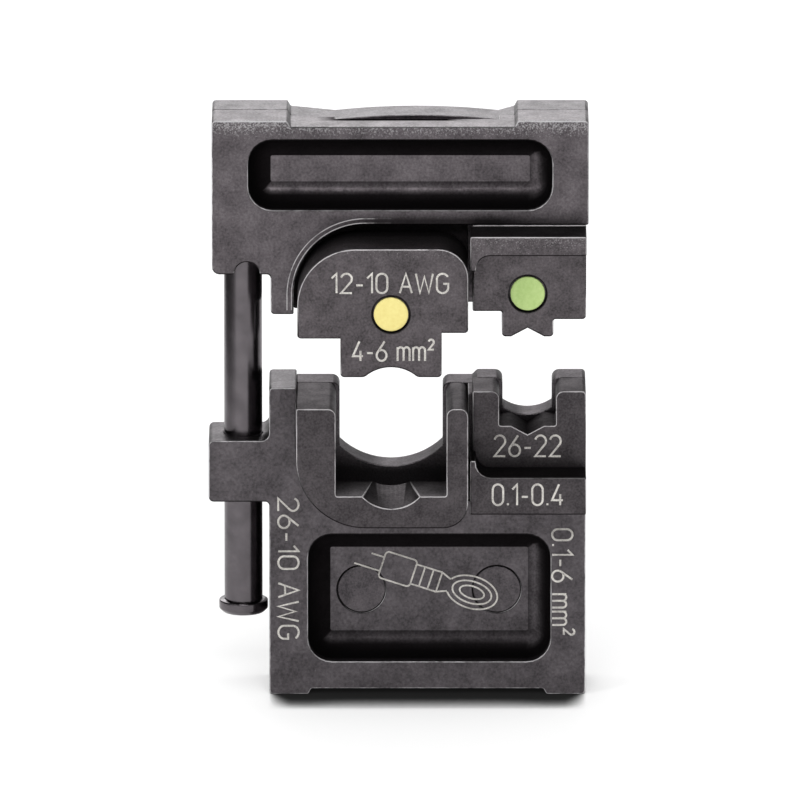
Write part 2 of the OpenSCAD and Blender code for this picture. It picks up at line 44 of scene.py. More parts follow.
# The studio: a pale floor, a white backdrop and four soft lamps, with a dim room and two dark cards
# that only gloss sees. For the camera the floor carries a painted shadow at the object's front, its
# own occlusion made far darker there, and is white far off.
# The long lens looks down by the photograph's 14 degrees.
LOOK_AT = np.array([0.135, -0.5, 23.87]) * MM
ELEVATION = math.radians(14)
CAMERA_DISTANCE = 1.6
FRAME_WIDTH = 62.8 * MM
SENSOR = 36.0
FLOOR_SIDE = 8.0
FLOOR_WHITE = 0.9
FLOOR_GLOW = 0.26
FAR_FROM = 0.5
FAR_TO = 2.0
SURROUND = 0.54
# Painted shadow on the floor at the object's front, for the camera alone: reach, samples, depth, least,
# and its range along Y and X
CONTACT_REACH = 5 * MM
CONTACT_SAMPLES = 24
CONTACT_DEPTH = 14.0
CONTACT_LEAST = 0.02
CONTACT_FROM = 3.5 * MM
CONTACT_TO = -0.6 * MM
CONTACT_MIDDLE = 2.285 * MM
CONTACT_END = 12.5 * MM
CONTACT_FULL = 10.8 * MM
CEILING = 0.15
CEILING_FROM = math.sin(math.radians(18))
CEILING_TO = math.sin(math.radians(42))
ROOM = 0.08
ROOM_FROM = -0.1
ROOM_TO = -0.45
CARD_PLACE = 0.11
CARD_FRONT = -0.1
CARD_REAR = 0.16
CARD_HEIGHT = 0.14


def feed(tree, socket, value):
    """Links a socket to value where that is a socket too, or else sets it to value."""
    if isinstance(value, bpy.types.NodeSocket):
        tree.links.new(value, socket)
    else:
        socket.default_value = value


def put(tree, kind, **given):
    """A shader node of that kind; a given value fills the socket, or else the setting, of its name."""
    made = tree.nodes.new(kind)
    for key, value in given.items():
        name = key.replace("_", " ")
        socket = next((s for s in made.inputs if s.name == name and s.enabled), None)
        if socket is None:
            setattr(made, key, value)
        else:
            feed(tree, socket, value)
    return made


def sums(tree, operation, a, b, clamp=False):
    """Result of a Math node on a and b, each a number or a socket."""
    made = tree.nodes.new("ShaderNodeMath")
    made.operation = operation
    made.use_clamp = clamp
    feed(tree, made.inputs[0], a)
    feed(tree, made.inputs[1], b)
    return made.outputs[0]


def seen_directly(tree):
    """1 for the rays that show the backdrop: those of the camera, of gloss and of glass."""
    path = tree.nodes.new("ShaderNodeLightPath")
    camera_or_gloss = sums(tree, "MAXIMUM", path.outputs["Is Camera Ray"], path.outputs["Is Glossy Ray"])
    return sums(tree, "MAXIMUM", camera_or_gloss, path.outputs["Is Transmission Ray"])


camera = bpy.data.objects.new("camera", bpy.data.cameras.new("camera"))
bpy.context.scene.collection.objects.link(camera)
camera.location = LOOK_AT + CAMERA_DISTANCE * np.array([0, -math.cos(ELEVATION), math.sin(ELEVATION)])
camera.rotation_euler = (math.pi / 2 - ELEVATION, 0, 0)
camera.data.sensor_width = SENSOR
camera.data.lens = SENSOR * CAMERA_DISTANCE / FRAME_WIDTH
camera.data.clip_end = 2 * FLOOR_SIDE
bpy.context.scene.camera = camera
bpy.context.scene.view_settings.view_transform = "Standard"

world = bpy.data.worlds.new("surround")
world.use_nodes = True
bpy.context.scene.world = world
tree = world.node_tree
heading = put(tree, "ShaderNodeSeparateXYZ", Vector=put(tree, "ShaderNodeTexCoord").outputs["Generated"])
height = put(tree, "ShaderNodeMapRange", Value=heading.outputs["Z"], From_Min=CEILING_FROM,
             From_Max=CEILING_TO, To_Min=1.0, To_Max=CEILING)
front = put(tree, "ShaderNodeMapRange", Value=heading.outputs["Y"], From_Min=ROOM_FROM,
            From_Max=ROOM_TO, To_Min=1.0, To_Max=ROOM)
gloss = tree.nodes.new("ShaderNodeLightPath").outputs["Is Glossy Ray"]
room = put(tree, "ShaderNodeMapRange", Value=gloss, To_Min=1.0, To_Max=front.outputs[0])
level = put(tree, "ShaderNodeMapRange", Value=seen_directly(tree), To_Min=SURROUND,
            To_Max=sums(tree, "MULTIPLY", height.outputs[0], room.outputs[0]))
backdrop = tree.nodes["Background"]
backdrop.inputs["Color"].default_value = (1, 1, 1, 1)
tree.links.new(level.outputs[0], backdrop.inputs["Strength"])
world.cycles.sampling_method = "NONE"

# Each lamp: place, width, height and radiance
for name, place, width, height, radiance in (("left_lamp", (-0.62, -0.5, 0.3), 0.3, 0.3, 5.0),
                                             ("front_lamp", (0.0, -0.6, 0.4), 0.5, 0.12, 8.0),
                                             ("top_lamp", (0.05, -0.1, 0.7), 0.4, 0.4, 1.7),
                                             ("back_lamp", (-0.1, 0.62, 0.4), 0.4, 0.4, 2.6)):
    lamp = bpy.data.objects.new(name, bpy.data.lights.new(name, "AREA"))
    bpy.context.scene.collection.objects.link(lamp)
    lamp.location = place
    aim = np.array(place) - LOOK_AT
    lamp.rotation_euler = (math.acos(aim[2] / np.linalg.norm(aim)), 0, math.atan2(aim[0], -aim[1]))
    lamp.data.shape = "RECTANGLE"
    lamp.data.size = width
    lamp.data.size_y = height
    lamp.data.energy = radiance * math.pi * width * height


def studio_sheet(name, corners):
    """A flat sheet of the studio through four corners, which isn't part of the object."""
    mesh = bpy.data.meshes.new(name)
    mesh.from_pydata(corners, [], [(0, 1, 2, 3)])
    sheet = bpy.data.objects.new(name, mesh)
    bpy.context.scene.collection.objects.link(sheet)
    return sheet


half = FLOOR_SIDE / 2
floor = studio_sheet("floor", [(-half, -half, 0), (half, -half, 0), (half, half, 0), (-half, half, 0)])
paper = bpy.data.materials.new("pale_floor")
paper.use_nodes = True
tree = paper.node_tree
tree.nodes.clear()
# Painted shadow: the occlusion raised to a high power in front of the object, for camera rays; it darkens
# the floor's colour and glow
nearby = put(tree, "ShaderNodeAmbientOcclusion", samples=CONTACT_SAMPLES, Distance=CONTACT_REACH)
spot = put(tree, "ShaderNodeTexCoord").outputs["Object"]
place = put(tree, "ShaderNodeSeparateXYZ", Vector=spot)
before = put(tree, "ShaderNodeMapRange", Value=place.outputs["Y"], From_Min=CONTACT_FROM,
             From_Max=CONTACT_TO, To_Max=CONTACT_DEPTH)
aside = sums(tree, "ABSOLUTE", sums(tree, "SUBTRACT", place.outputs["X"], CONTACT_MIDDLE), 0)
along = put(tree, "ShaderNodeMapRange", Value=aside, From_Min=CONTACT_END, From_Max=CONTACT_FULL)
seen = tree.nodes.new("ShaderNodeLightPath").outputs["Is Camera Ray"]
depth = sums(tree, "MULTIPLY", sums(tree, "MULTIPLY", before.outputs[0], along.outputs[0]), seen)
contact = sums(tree, "MAXIMUM", sums(tree, "POWER", nearby.outputs["AO"], depth), CONTACT_LEAST)
matt = put(tree, "ShaderNodeBsdfDiffuse", Color=sums(tree, "MULTIPLY", contact, FLOOR_WHITE))
distance = put(tree, "ShaderNodeVectorMath", operation="LENGTH", Vector=spot).outputs["Value"]
far = put(tree, "ShaderNodeMapRange", Value=distance, From_Min=FAR_FROM, From_Max=FAR_TO)
near_glow = sums(tree, "MULTIPLY", sums(tree, "MULTIPLY", seen_directly(tree), FLOOR_GLOW), contact)
glow = sums(tree, "ADD", near_glow, sums(tree, "MULTIPLY", far.outputs[0], seen))
glow = put(tree, "ShaderNodeEmission", Strength=glow)
both = tree.nodes.new("ShaderNodeAddShader")
tree.links.new(matt.outputs[0], both.inputs[0])
tree.links.new(glow.outputs[0], both.inputs[1])
put(tree, "ShaderNodeOutputMaterial", Surface=both.outputs[0])
floor.data.materials.append(paper)

# Each card: side of the object and grey level
for name, side, grey in (("left_card", -1, 0.03), ("right_card", 1, 0.02)):
    x = side * CARD_PLACE
    card = studio_sheet(name, [(x, CARD_FRONT, 0), (x, CARD_REAR, 0), (x, CARD_REAR, CARD_HEIGHT),
                               (x, CARD_FRONT, CARD_HEIGHT)])
    board = bpy.data.materials.new(name + "_board")
    board.use_nodes = True
    board.node_tree.nodes.clear()
    matt = put(board.node_tree, "ShaderNodeEmission", Strength=grey)
    put(board.node_tree, "ShaderNodeOutputMaterial", Surface=matt.outputs[0])
    card.data.materials.append(board)
    card.visible_camera = False
    card.visible_diffuse = False
    card.visible_transmission = False
    card.visible_shadow = False


# The lower back plate: a flat steel plate, ground on its rear, blackened, with both rear nests
# cut into its top edge. It carries the nest blocks and is riveted to the lower body.
FLAT_ANGLE = math.radians(1)
SHARP_ANGLE = math.radians(30)
CREASE_ANGLE = math.radians(50)
WELD = 0.0005 * MM
# How far the front share of a normal falls short of a limit, and the slope to full painted shade
SHADED_WALL = (0.9995, 400.0)
LIT_WALL = (0.985, 7.0)
# Range of the front share, and the least painted shade in it
LIT_CREASE = (0.985, 0.9992, 0.65)
BURNISHED = (0.8, 0.97)
# Slope and tilt to the upper left, the share of painted shade taken off, and the front share's slope and
# start
GLINT = (3.0, 0.12, 0.9, 4.0, 0.6)
LEVEL = 0.9999
# How far down a rounding may look, the slope beyond that, and the least wear or the most painted shade it
# comes to
SHADED_WEAR = (0.25, 5.0, 0.3)
UNDER_EDGE = (0.04, 8.0, 0.9)
FOOT_TOP = 1.0
FOOT_RUB = 0.8
PLATE_EASE = 0.08 * MM


def column(items, label, kind=np.float32, width=1):
    """One property of all items of a mesh, in rows of that width."""
    values = np.zeros(len(items) * width, kind)
    items.foreach_get(label, values)
    return values.reshape(-1, width) if width > 1 else values


def within(places, box):
    """Whether each place lies in a box, which starts with its lowest and highest corner."""
    return ((places >= box[0]) & (places <= box[1])).all(1)


def eased(name, ease, walls=(), painted_shade_boxes=()):
    """A copy of a CAD node with its sharp outer edges rounded over the width ease. Its point
    attribute "edge" is the wear: 1 along the middle of a rounding, less where that faces the floor
    as painted shade, and 0 elsewhere. Its point attribute "burnished" is 1 on the lit fillets in
    the boxes of walls. Its corner attribute of painted shade darkens cavities and roundings that
    face the floor, as shade painted into the colour. In each box of painted shade (lowest corner,
    highest corner, share) it is the share. In each box of walls the painted shade grows as a wall
    turns from the front: walls that face up or left stay clear further from the floor than the
    shaded ones, but for the crease at the floor, and fillets that face up and left stay clearest.
    A flat face that looks to the front is clear unless its middle is in a box of painted shade.
    Boxes are in millimetres."""
    shape = bmesh.new()
    shape.from_mesh(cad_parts[name].data)
    bmesh.ops.remove_doubles(shape, verts=shape.verts, dist=WELD)
    bmesh.ops.dissolve_limit(shape, angle_limit=FLAT_ANGLE, verts=shape.verts, edges=shape.edges)
    for face in shape.faces:
        face.material_index = 0
    sharp = [edge for edge in shape.edges
             if edge.is_manifold and edge.is_convex and edge.calc_face_angle() > SHARP_ANGLE]
    bmesh.ops.bevel(shape, geom=sharp, offset=ease, offset_type="OFFSET", segments=3, profile=0.5,
                    affect="EDGES", clamp_overlap=False, loop_slide=False, material=1)
    mesh = bpy.data.meshes.new(name + "_finished")
    shape.to_mesh(mesh)
    shape.free()
    if "custom_normal" in mesh.attributes:
        mesh.attributes.remove(mesh.attributes["custom_normal"])
    rounding = column(mesh.polygons, "material_index", np.int32)
    sizes = column(mesh.polygons, "loop_total", np.int32)
    corners = column(mesh.loops, "vertex_index", np.int32)
    inside = np.ones(len(mesh.vertices), np.int32)
    np.minimum.at(inside, corners, np.repeat(rounding, sizes))
    points = column(mesh.vertices, "co", width=3) / MM
    across, front, up = column(mesh.vertex_normals, "vector", width=3).T
    front = np.abs(front)
    # Painted shade on the walls: it grows as a wall turns from the front, sooner on the shaded side than
    # on the lit one
    lit = up > across
    limit, slope = np.where(lit, np.array([LIT_WALL]).T, np.array([SHADED_WALL]).T)
    steepness = np.clip(slope * (limit - front), 0, 1)
    lowest, highest, least = LIT_CREASE
    crease = lit & (front > lowest) & (front < highest)
    steepness = np.maximum(steepness, least * crease)
    turn, tilt, taken, onset, start = GLINT
    facing = np.clip(turn * np.minimum(up + tilt, -across), 0, 1) * np.clip(onset * (front - start), 0, 1)
    steepness *= 1 - taken * facing
    lowest, highest = BURNISHED
    fillet = lit & (front > lowest) & (front < highest)
    dark = np.zeros(len(mesh.vertices))
    smooth = np.zeros(len(mesh.vertices))
    for box in walls:
        dark = np.where(within(points, box), steepness, dark)
        smooth = np.where(within(points, box), fillet, smooth)
    for box in painted_shade_boxes:
        dark = np.where(within(points, box), np.maximum(dark, box[2]), dark)
    # Painted shade under roundings that face the floor, above the feet, where the wear is also less
    limit, slope, most = UNDER_EDGE
    raised = points[:, 2] > FOOT_TOP
    under = most * raised * np.clip(-slope * (up + limit), 0, 1)
    limit, slope, least = SHADED_WEAR
    wear_and_shade = inside * np.clip(1 + slope * (up + limit), np.where(raised, least, FOOT_RUB), 1)
    middles = column(mesh.polygons, "center", width=3) / MM
    frontal = column(mesh.polygons, "normal", width=3)[:, 1] < -LEVEL
    shade = np.zeros(len(mesh.polygons))
    for box in painted_shade_boxes:
        shade = np.where(within(middles, box), np.maximum(shade, box[2]), shade)
    painted_shade_corners = np.where(np.repeat(frontal, sizes), np.repeat(shade, sizes), dark[corners])
    painted_shade_corners = np.maximum(painted_shade_corners, np.repeat(rounding, sizes) * under[corners])
    for label, domain, values in (("edge", "POINT", wear_and_shade), ("painted_shade", "CORNER", painted_shade_corners),
                                  ("burnished", "POINT", smooth)):
        mesh.attributes.new(label, "FLOAT", domain).data.foreach_set("value", values.astype(np.float32))
    mesh.polygons.foreach_set("material_index", np.zeros(len(mesh.polygons), np.int32))
    mesh.polygons.foreach_set("use_smooth", np.ones(len(mesh.polygons), bool))
    mesh.set_sharp_from_angle(angle=CREASE_ANGLE)
    mesh.materials.clear()
    piece = bpy.data.objects.new(name + "_finished", mesh)
    bpy.context.scene.collection.objects.link(piece)
    flats = piece.modifiers.new("even_flats", "WEIGHTED_NORMAL")
    flats.mode = "FACE_AREA"
    flats.keep_sharp = True
    return piece


def shader_group(name, inputs, outputs):
    """An empty node group with float inputs {name: default} and float outputs [names]."""
    group = bpy.data.node_groups.new(name, "ShaderNodeTree")
    for label, default in inputs.items():
        socket = group.interface.new_socket(label, in_out="INPUT", socket_type="NodeSocketFloat")
        socket.default_value = default
    for label in outputs:
        group.interface.new_socket(label, in_out="OUTPUT", socket_type="NodeSocketFloat")
    return group, group.nodes.new("NodeGroupInput").outputs, group.nodes.new("NodeGroupOutput").inputs


def blend(tree, share, first, second):
    """Colour between first and second by share; each is a colour of three numbers or a socket."""
    made = tree.nodes.new("ShaderNodeMix")
    made.data_type = "RGBA"
    feed(tree, made.inputs["Factor"], share)
    for label, value in (("A", first), ("B", second)):
        socket = next(s for s in made.inputs if s.name == label and s.enabled)
        feed(tree, socket, value if isinstance(value, bpy.types.NodeSocket) else (*value, 1))
    return next(s for s in made.outputs if s.enabled)


def vectors(tree, operation, a, b=(0, 0, 0)):
    """Result of a Vector Math node on a and b, each three numbers or a socket."""
    made = tree.nodes.new("ShaderNodeVectorMath")
    made.operation = operation
    feed(tree, made.inputs[0], a)
    feed(tree, made.inputs[1], b)
    return made.outputs[0]


CLOUD_PITCH = 0.1
MOTTLE_FROM = 0.36
MOTTLE_TO = 0.64
PEAK_PITCH = 1.7
FLECK_FROM = 0.68
FLECK_SCUFFED = 0.26
FLECK_RISE = 0.22
PATCH_SIZE = 1.1 * MM
PATCH_SHARE = 1.6
WEAR_FROM = 2.3
WEAR_RISE = 0.45
EDGE_GAIN = 1.6
LINE_PITCH = (0.012, 1, 1)

# Grain of the blackening on the object's own coordinates: specks on broad clouds, and bright
# flecks where finer specks peak, with many more of them where Scuff is 1
grain, given, result = shader_group("grain", {"Size": 0.2 * MM, "Scuff": 0.0},
                                    ["Mottle", "Height", "Fleck"])
place = grain.nodes.new("ShaderNodeTexCoord").outputs["Object"]
per_size = sums(grain, "DIVIDE", 1.0, given["Size"])
specks = put(grain, "ShaderNodeTexNoise", Vector=place, Scale=per_size, Detail=3.0, Roughness=0.6)
clouds = put(grain, "ShaderNodeTexNoise", Vector=place,
             Scale=sums(grain, "MULTIPLY", per_size, CLOUD_PITCH), Detail=4.0, Roughness=0.65)
mixed = sums(grain, "ADD", sums(grain, "MULTIPLY", specks.outputs[0], 0.5),
             sums(grain, "MULTIPLY", clouds.outputs[0], 0.5))
spread = put(grain, "ShaderNodeMapRange", Value=mixed, From_Min=MOTTLE_FROM, From_Max=MOTTLE_TO)
peaks = put(grain, "ShaderNodeTexNoise", Vector=place,
            Scale=sums(grain, "MULTIPLY", per_size, PEAK_PITCH), Detail=2.0, Roughness=0.5)
rarity = sums(grain, "SUBTRACT", FLECK_FROM, sums(grain, "MULTIPLY", given["Scuff"], FLECK_SCUFFED))
bright = put(grain, "ShaderNodeMapRange", Value=sums(grain, "SUBTRACT", peaks.outputs[0], rarity),
             From_Min=0.0, From_Max=FLECK_RISE)
grain.links.new(spread.outputs[0], result["Mottle"])
grain.links.new(specks.outputs[0], result["Height"])
grain.links.new(bright.outputs[0], result["Fleck"])

# Wear on the outer edges: it covers more of them where Cover is high, and breaks up in patches
edge_wear, given, result = shader_group("edge_wear", {"Edge": 0.0, "Cover": 0.5}, ["Mask"])
place = edge_wear.nodes.new("ShaderNodeTexCoord").outputs["Object"]
patches = put(edge_wear, "ShaderNodeTexNoise", Vector=place, Scale=1 / PATCH_SIZE, Detail=4.0,
              Roughness=0.7)
level = sums(edge_wear, "ADD", given["Edge"],
             sums(edge_wear, "MULTIPLY", patches.outputs[0], PATCH_SHARE))
start = sums(edge_wear, "SUBTRACT", WEAR_FROM, given["Cover"])
mask = put(edge_wear, "ShaderNodeMapRange", Value=sums(edge_wear, "SUBTRACT", level, start),
           From_Min=0.0, From_Max=WEAR_RISE)
gate = sums(edge_wear, "MULTIPLY", mask.outputs[0],
            sums(edge_wear, "MULTIPLY", given["Edge"], EDGE_GAIN, clamp=True))
edge_wear.links.new(gate, result["Mask"])

# Grinding lines: fine straight scratches that run across the object, on its own coordinates
ground, given, result = shader_group("ground", {"Pitch": 0.06 * MM}, ["Lines"])
place = ground.nodes.new("ShaderNodeTexCoord").outputs["Object"]
squeeze = put(ground, "ShaderNodeMapping", Vector=place, Scale=LINE_PITCH)
streak = put(ground, "ShaderNodeTexNoise", Vector=squeeze.outputs[0],
             Scale=sums(ground, "DIVIDE", 1.0, given["Pitch"]), Detail=2.0, Roughness=0.6)
ground.links.new(streak.outputs[0], result["Lines"])

PAINTED_SHADE_BLACK = (0.014, 0.012, 0.013)
FLECK_SHARE = 0.25
SCUFF_SHARE = 0.25
SCUFF_FROM = -1.5 * MM
SCUFF_TO = -0.9 * MM
SATIN_DARK = 0.08
SATIN_LIGHT = -0.06
PAINTED_SHADE_ROUGH = 0.35
WORN_ROUGH = 0.2
BURNISH = -0.06
WORN_MATT = 0.5
RELIEF = 0.02 * MM


def blackened(name, dark, light, worn, rough=0.36, size=0.2 * MM, cover=0.5, bump=0.25, lines=0.0,
              scuffed=None, dimmed=(), grazing=1.0):
    """Blackened steel: dark to light colour by the grain, bright worn steel along the edges,
    near black painted shade where the mesh's painted shade attribute says, grinding lines at the
    strength lines, and scuffs on the front that grow from the lower to the upper height of
    scuffed. Each dimmed place is painted shade, in the colour and the reflection: it has a middle,
    its reach and the width of its fade along X, Y and Z, in millimetres, and a depth. Painted shade
    and worn edges are rougher, and worn steel scatters part of its light. Grazing is the
    brightness of the steel's reflection at a flat angle, set lower on some pieces as painted
    shade."""
    steel = bpy.data.materials.new(name)
    steel.use_nodes = True
    tree = steel.node_tree
    tree.nodes.clear()
    speck = put(tree, "ShaderNodeGroup", node_tree=grain, Size=size)
    edge = put(tree, "ShaderNodeAttribute", attribute_name="edge")
    painted_shade = put(tree, "ShaderNodeAttribute", attribute_name="painted_shade")
    rub = put(tree, "ShaderNodeGroup", node_tree=edge_wear, Edge=edge.outputs["Fac"], Cover=cover)
    skin = blend(tree, speck.outputs["Mottle"], dark, light)
    share = FLECK_SHARE
    place = put(tree, "ShaderNodeTexCoord").outputs["Object"]
    if scuffed:
        spot = put(tree, "ShaderNodeSeparateXYZ", Vector=place)
        rise = put(tree, "ShaderNodeMapRange", Value=spot.outputs["Z"], From_Min=scuffed[0],
                   From_Max=scuffed[1])
        fore = put(tree, "ShaderNodeMapRange", Value=spot.outputs["Y"], From_Min=SCUFF_TO,
                   From_Max=SCUFF_FROM)
        rise = sums(tree, "MULTIPLY", rise.outputs[0], fore.outputs[0])
        tree.links.new(rise, speck.inputs["Scuff"])
        share = sums(tree, "ADD", FLECK_SHARE, sums(tree, "MULTIPLY", rise, SCUFF_SHARE))
    glint = blend(tree, sums(tree, "MULTIPLY", speck.outputs["Fleck"], share), skin, worn)
    bare = blend(tree, rub.outputs["Mask"], glint, worn)
    sheen = (grazing,) * 3
    # Each dimmed place is painted shade, in the colour and in the tint of the reflection
    for middle, reach, fade, depth in dimmed:
        spot = vectors(tree, "DIVIDE", place, (MM, MM, MM))
        aside = vectors(tree, "ABSOLUTE", vectors(tree, "SUBTRACT", spot, middle))
        closeness = vectors(tree, "DIVIDE", vectors(tree, "SUBTRACT", reach, aside), fade)
        closeness = vectors(tree, "MINIMUM", vectors(tree, "MAXIMUM", closeness), (1, 1, 1))
        shade = depth
        for part in put(tree, "ShaderNodeSeparateXYZ", Vector=closeness).outputs:
            shade = sums(tree, "MULTIPLY", shade, part)
        bare = blend(tree, shade, bare, PAINTED_SHADE_BLACK)
        sheen = blend(tree, shade, sheen, PAINTED_SHADE_BLACK)
    # Painted shade where the mesh's painted shade attribute says
    deep = blend(tree, painted_shade.outputs["Fac"], bare, PAINTED_SHADE_BLACK)
    satin = put(tree, "ShaderNodeMapRange", Value=speck.outputs["Mottle"],
                To_Min=rough + SATIN_DARK, To_Max=rough + SATIN_LIGHT)
    coarse = sums(tree, "ADD", sums(tree, "MULTIPLY", painted_shade.outputs["Fac"], PAINTED_SHADE_ROUGH),
                  sums(tree, "MULTIPLY", rub.outputs["Mask"], WORN_ROUGH))
    fine = put(tree, "ShaderNodeAttribute", attribute_name="burnished")
    coarse = sums(tree, "ADD", coarse, sums(tree, "MULTIPLY", fine.outputs["Fac"], BURNISH))
    matt = sums(tree, "ADD", satin.outputs[0], coarse, clamp=True)
    metal = sums(tree, "SUBTRACT", 1.0, sums(tree, "MULTIPLY", rub.outputs["Mask"], WORN_MATT))
    height = speck.outputs["Height"]
    if lines:
        scratch = put(tree, "ShaderNodeGroup", node_tree=ground)
        height = sums(tree, "ADD", height, sums(tree, "MULTIPLY", scratch.outputs["Lines"], lines))
    relief = put(tree, "ShaderNodeBump", Height=height, Strength=bump, Distance=RELIEF)
    shader = put(tree, "ShaderNodeBsdfPrincipled", Base_Color=deep, Metallic=metal,
                 Roughness=matt, Normal=relief.outputs[0])
    feed(tree, shader.inputs["Specular Tint"], sheen if dimmed else (*sheen, 1))
    put(tree, "ShaderNodeOutputMaterial", Surface=shader.outputs[0])
    return steel


def dress(piece, node, body, material):
    """Gives a finished piece its material and its place in the model, instead of its CAD node."""
    piece.data.materials.append(material)
    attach(piece, body)
    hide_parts(node)


PLATE_LOOK = {"dark": (0.062, 0.056, 0.06), "light": (0.135, 0.122, 0.13), "worn": (0.42, 0.41, 0.42),
              "rough": 0.34, "size": 0.16 * MM, "cover": 0.6, "bump": 0.15, "lines": 0.8}
# Painted shade: this lower plate reflects less at a flat angle than the upper plate's copy of the same
# look
plate_black = blackened("plate_black", grazing=0.5, **PLATE_LOOK)
dress(eased("lower_back_plate", PLATE_EASE), "lower_back_plate", "lower_die", plate_black)


# The lower body: a cast steel plate with its lug, column and feet in one, and a filleted pocket.
# It is blackened, and handling has rubbed its outer edges bright.
BODY_EASE = 0.12 * MM
# Painted shade: the pocket walls and lower fillet darken, and the body's reflection at a flat angle is
# set lower than the upper body's
LOWER_POCKET = ((-7.2, -0.37, 2.5), (12.1, 3.2, 13.1))
LOWER_FILLET = ((-7.2, -0.3, 2.5), (12.1, 2.49, 4.4), 0.5)
body_black = blackened("body_black", (0.063, 0.057, 0.061), (0.13, 0.118, 0.126), (0.55, 0.54, 0.55),
                       rough=0.4, size=0.2 * MM, cover=0.9, bump=0.3, grazing=0.75)
dress(eased("lower_body", BODY_EASE, walls=[LOWER_POCKET], painted_shade_boxes=[LOWER_FILLET]), "lower_body",
      "lower_die", body_black)


# The nest blocks: the proud U of the large nest, and the small nest with its strip. They are
# finer castings than the body, and their post edges take the most wear.
BLOCK_EASE = 0.12 * MM
# Painted shade: the relief and floor behind the large nest, its scoop, the small nest's vee and floor,
# and the strip's top and lower edge darken; the blocks' reflection at a flat angle is set low
NEST_RELIEF = ((-5, -0.85, 15.7), (4, 3.1, 17.3), 1.0)
NEST_FLOOR = ((-4.95, -4.0, 17.3), (3.85, -0.8, 17.5), 0.9)
NEST_SCOOP = ((-4.95, -5.72, 16.2), (3.85, -0.8, 17.29), 0.12)
SMALL_VEE = ((8.9, -1.52, 21.2), (11.4, 3.1, 22.0), 1.0)
SMALL_FLOOR = ((7.8, -1.52, 21.9), (12.5, 3.1, 22.25), 0.5)
STRIP_TOP = ((5.4, -4.9, 18.6), (14.8, -1.5, 20.2), 0.9)
STRIP_EDGE = ((5.9, -4.999, 18.55), (14.8, -4.87, 18.75), 0.8)
block_black = blackened("block_black", (0.048, 0.043, 0.046), (0.1, 0.09, 0.095), (0.6, 0.58, 0.59),
                        rough=0.44, size=0.18 * MM, cover=1.0, bump=0.25, grazing=0.52)
dress(eased("large_nest", BLOCK_EASE, painted_shade_boxes=[NEST_RELIEF, NEST_FLOOR, NEST_SCOOP]), "large_nest",
      "lower_die", block_black)
dress(eased("small_nest", BLOCK_EASE, painted_shade_boxes=[SMALL_VEE, SMALL_FLOOR, STRIP_TOP, STRIP_EDGE]),
      "small_nest", "lower_die", block_black)


# Rivets and dowels: plain steel rods, set flush and blackened with the plates they hold.
ROD_EASE = 0.06 * MM
rod_black = blackened("rod_black", (0.055, 0.05, 0.054), (0.12, 0.108, 0.115), (0.2, 0.19, 0.2),
                      rough=0.36, size=0.15 * MM, cover=0.4, bump=0.2)
for node in ("lower_rivets", "nest_dowels"):
    dress(eased(node, ROD_EASE), node, "lower_die", rod_black)


# The friction ring: a nitrile ring in a groove inside the lug, which grips the guide pin.
rubber = bpy.data.materials.new("ring_rubber")
rubber.use_nodes = True
tree = rubber.node_tree
tree.nodes.clear()
bloom = put(tree, "ShaderNodeGroup", node_tree=grain, Size=0.08 * MM)
tint = blend(tree, bloom.outputs["Mottle"], (0.015, 0.015, 0.015), (0.03, 0.03, 0.03))
soft = put(tree, "ShaderNodeBsdfPrincipled", Base_Color=tint, Roughness=0.7)
put(tree, "ShaderNodeOutputMaterial", Surface=soft.outputs[0])
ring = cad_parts["friction_ring"]
ring.data.materials.clear()
ring.data.materials.append(rubber)


# The upper plates: the back plate with both rear punches, and the cast body with its wing, leg,
# top bar and pocket. They are finished as the lower pair is, a little lighter as painted light, in
# the body's colours and in both plates' reflection at a flat angle. Painted shade darkens the body
# along its bar over the arched recess and beside the slot behind its top edge.
# Painted shade also lies on the pocket walls, along the pocket's upper rim and on the rounding of the top
# front edge
UPPER_POCKET = ((-11.9, -1.47, 39.3), (12.2, 0.9, 45.2))
UPPER_RIM = ((-9.9, -1.599, 39.2), (10.2, -1.45, 39.6), 0.55)
UPPER_SCUFF = (44.9 * MM, 46.2 * MM)
BAR_DIM = ((3, 0, 34), (9.5, 20, 5.2), (4.75, 1, 0.55), 0.85)
SLOT_DIM = ((-0.4, 1.2, 46.3), (6.0, 0.8, 0.6), (2.0, 0.3, 0.2), 0.85)
TOP_EDGE = ((-9.0, -1.599, 46.0), (9.4, -1.5, 46.16), 0.8)
upper_black = blackened("upper_black", (0.07, 0.062, 0.067), (0.155, 0.139, 0.148), (0.6, 0.59, 0.6),
                        rough=0.36, size=0.2 * MM, cover=0.95, bump=0.3, scuffed=UPPER_SCUFF,
                        dimmed=[BAR_DIM, SLOT_DIM], grazing=0.88)
# A lighter copy of the plate look, as painted light: it reflects more at a flat angle
upper_plate_black = blackened("upper_plate_black", grazing=0.85, **PLATE_LOOK)
dress(eased("upper_back_plate", PLATE_EASE), "upper_back_plate", "upper_die", upper_plate_black)
dress(eased("upper_body", BODY_EASE, walls=[UPPER_POCKET], painted_shade_boxes=[UPPER_RIM, TOP_EDGE]), "upper_body",
      "upper_die", upper_black)


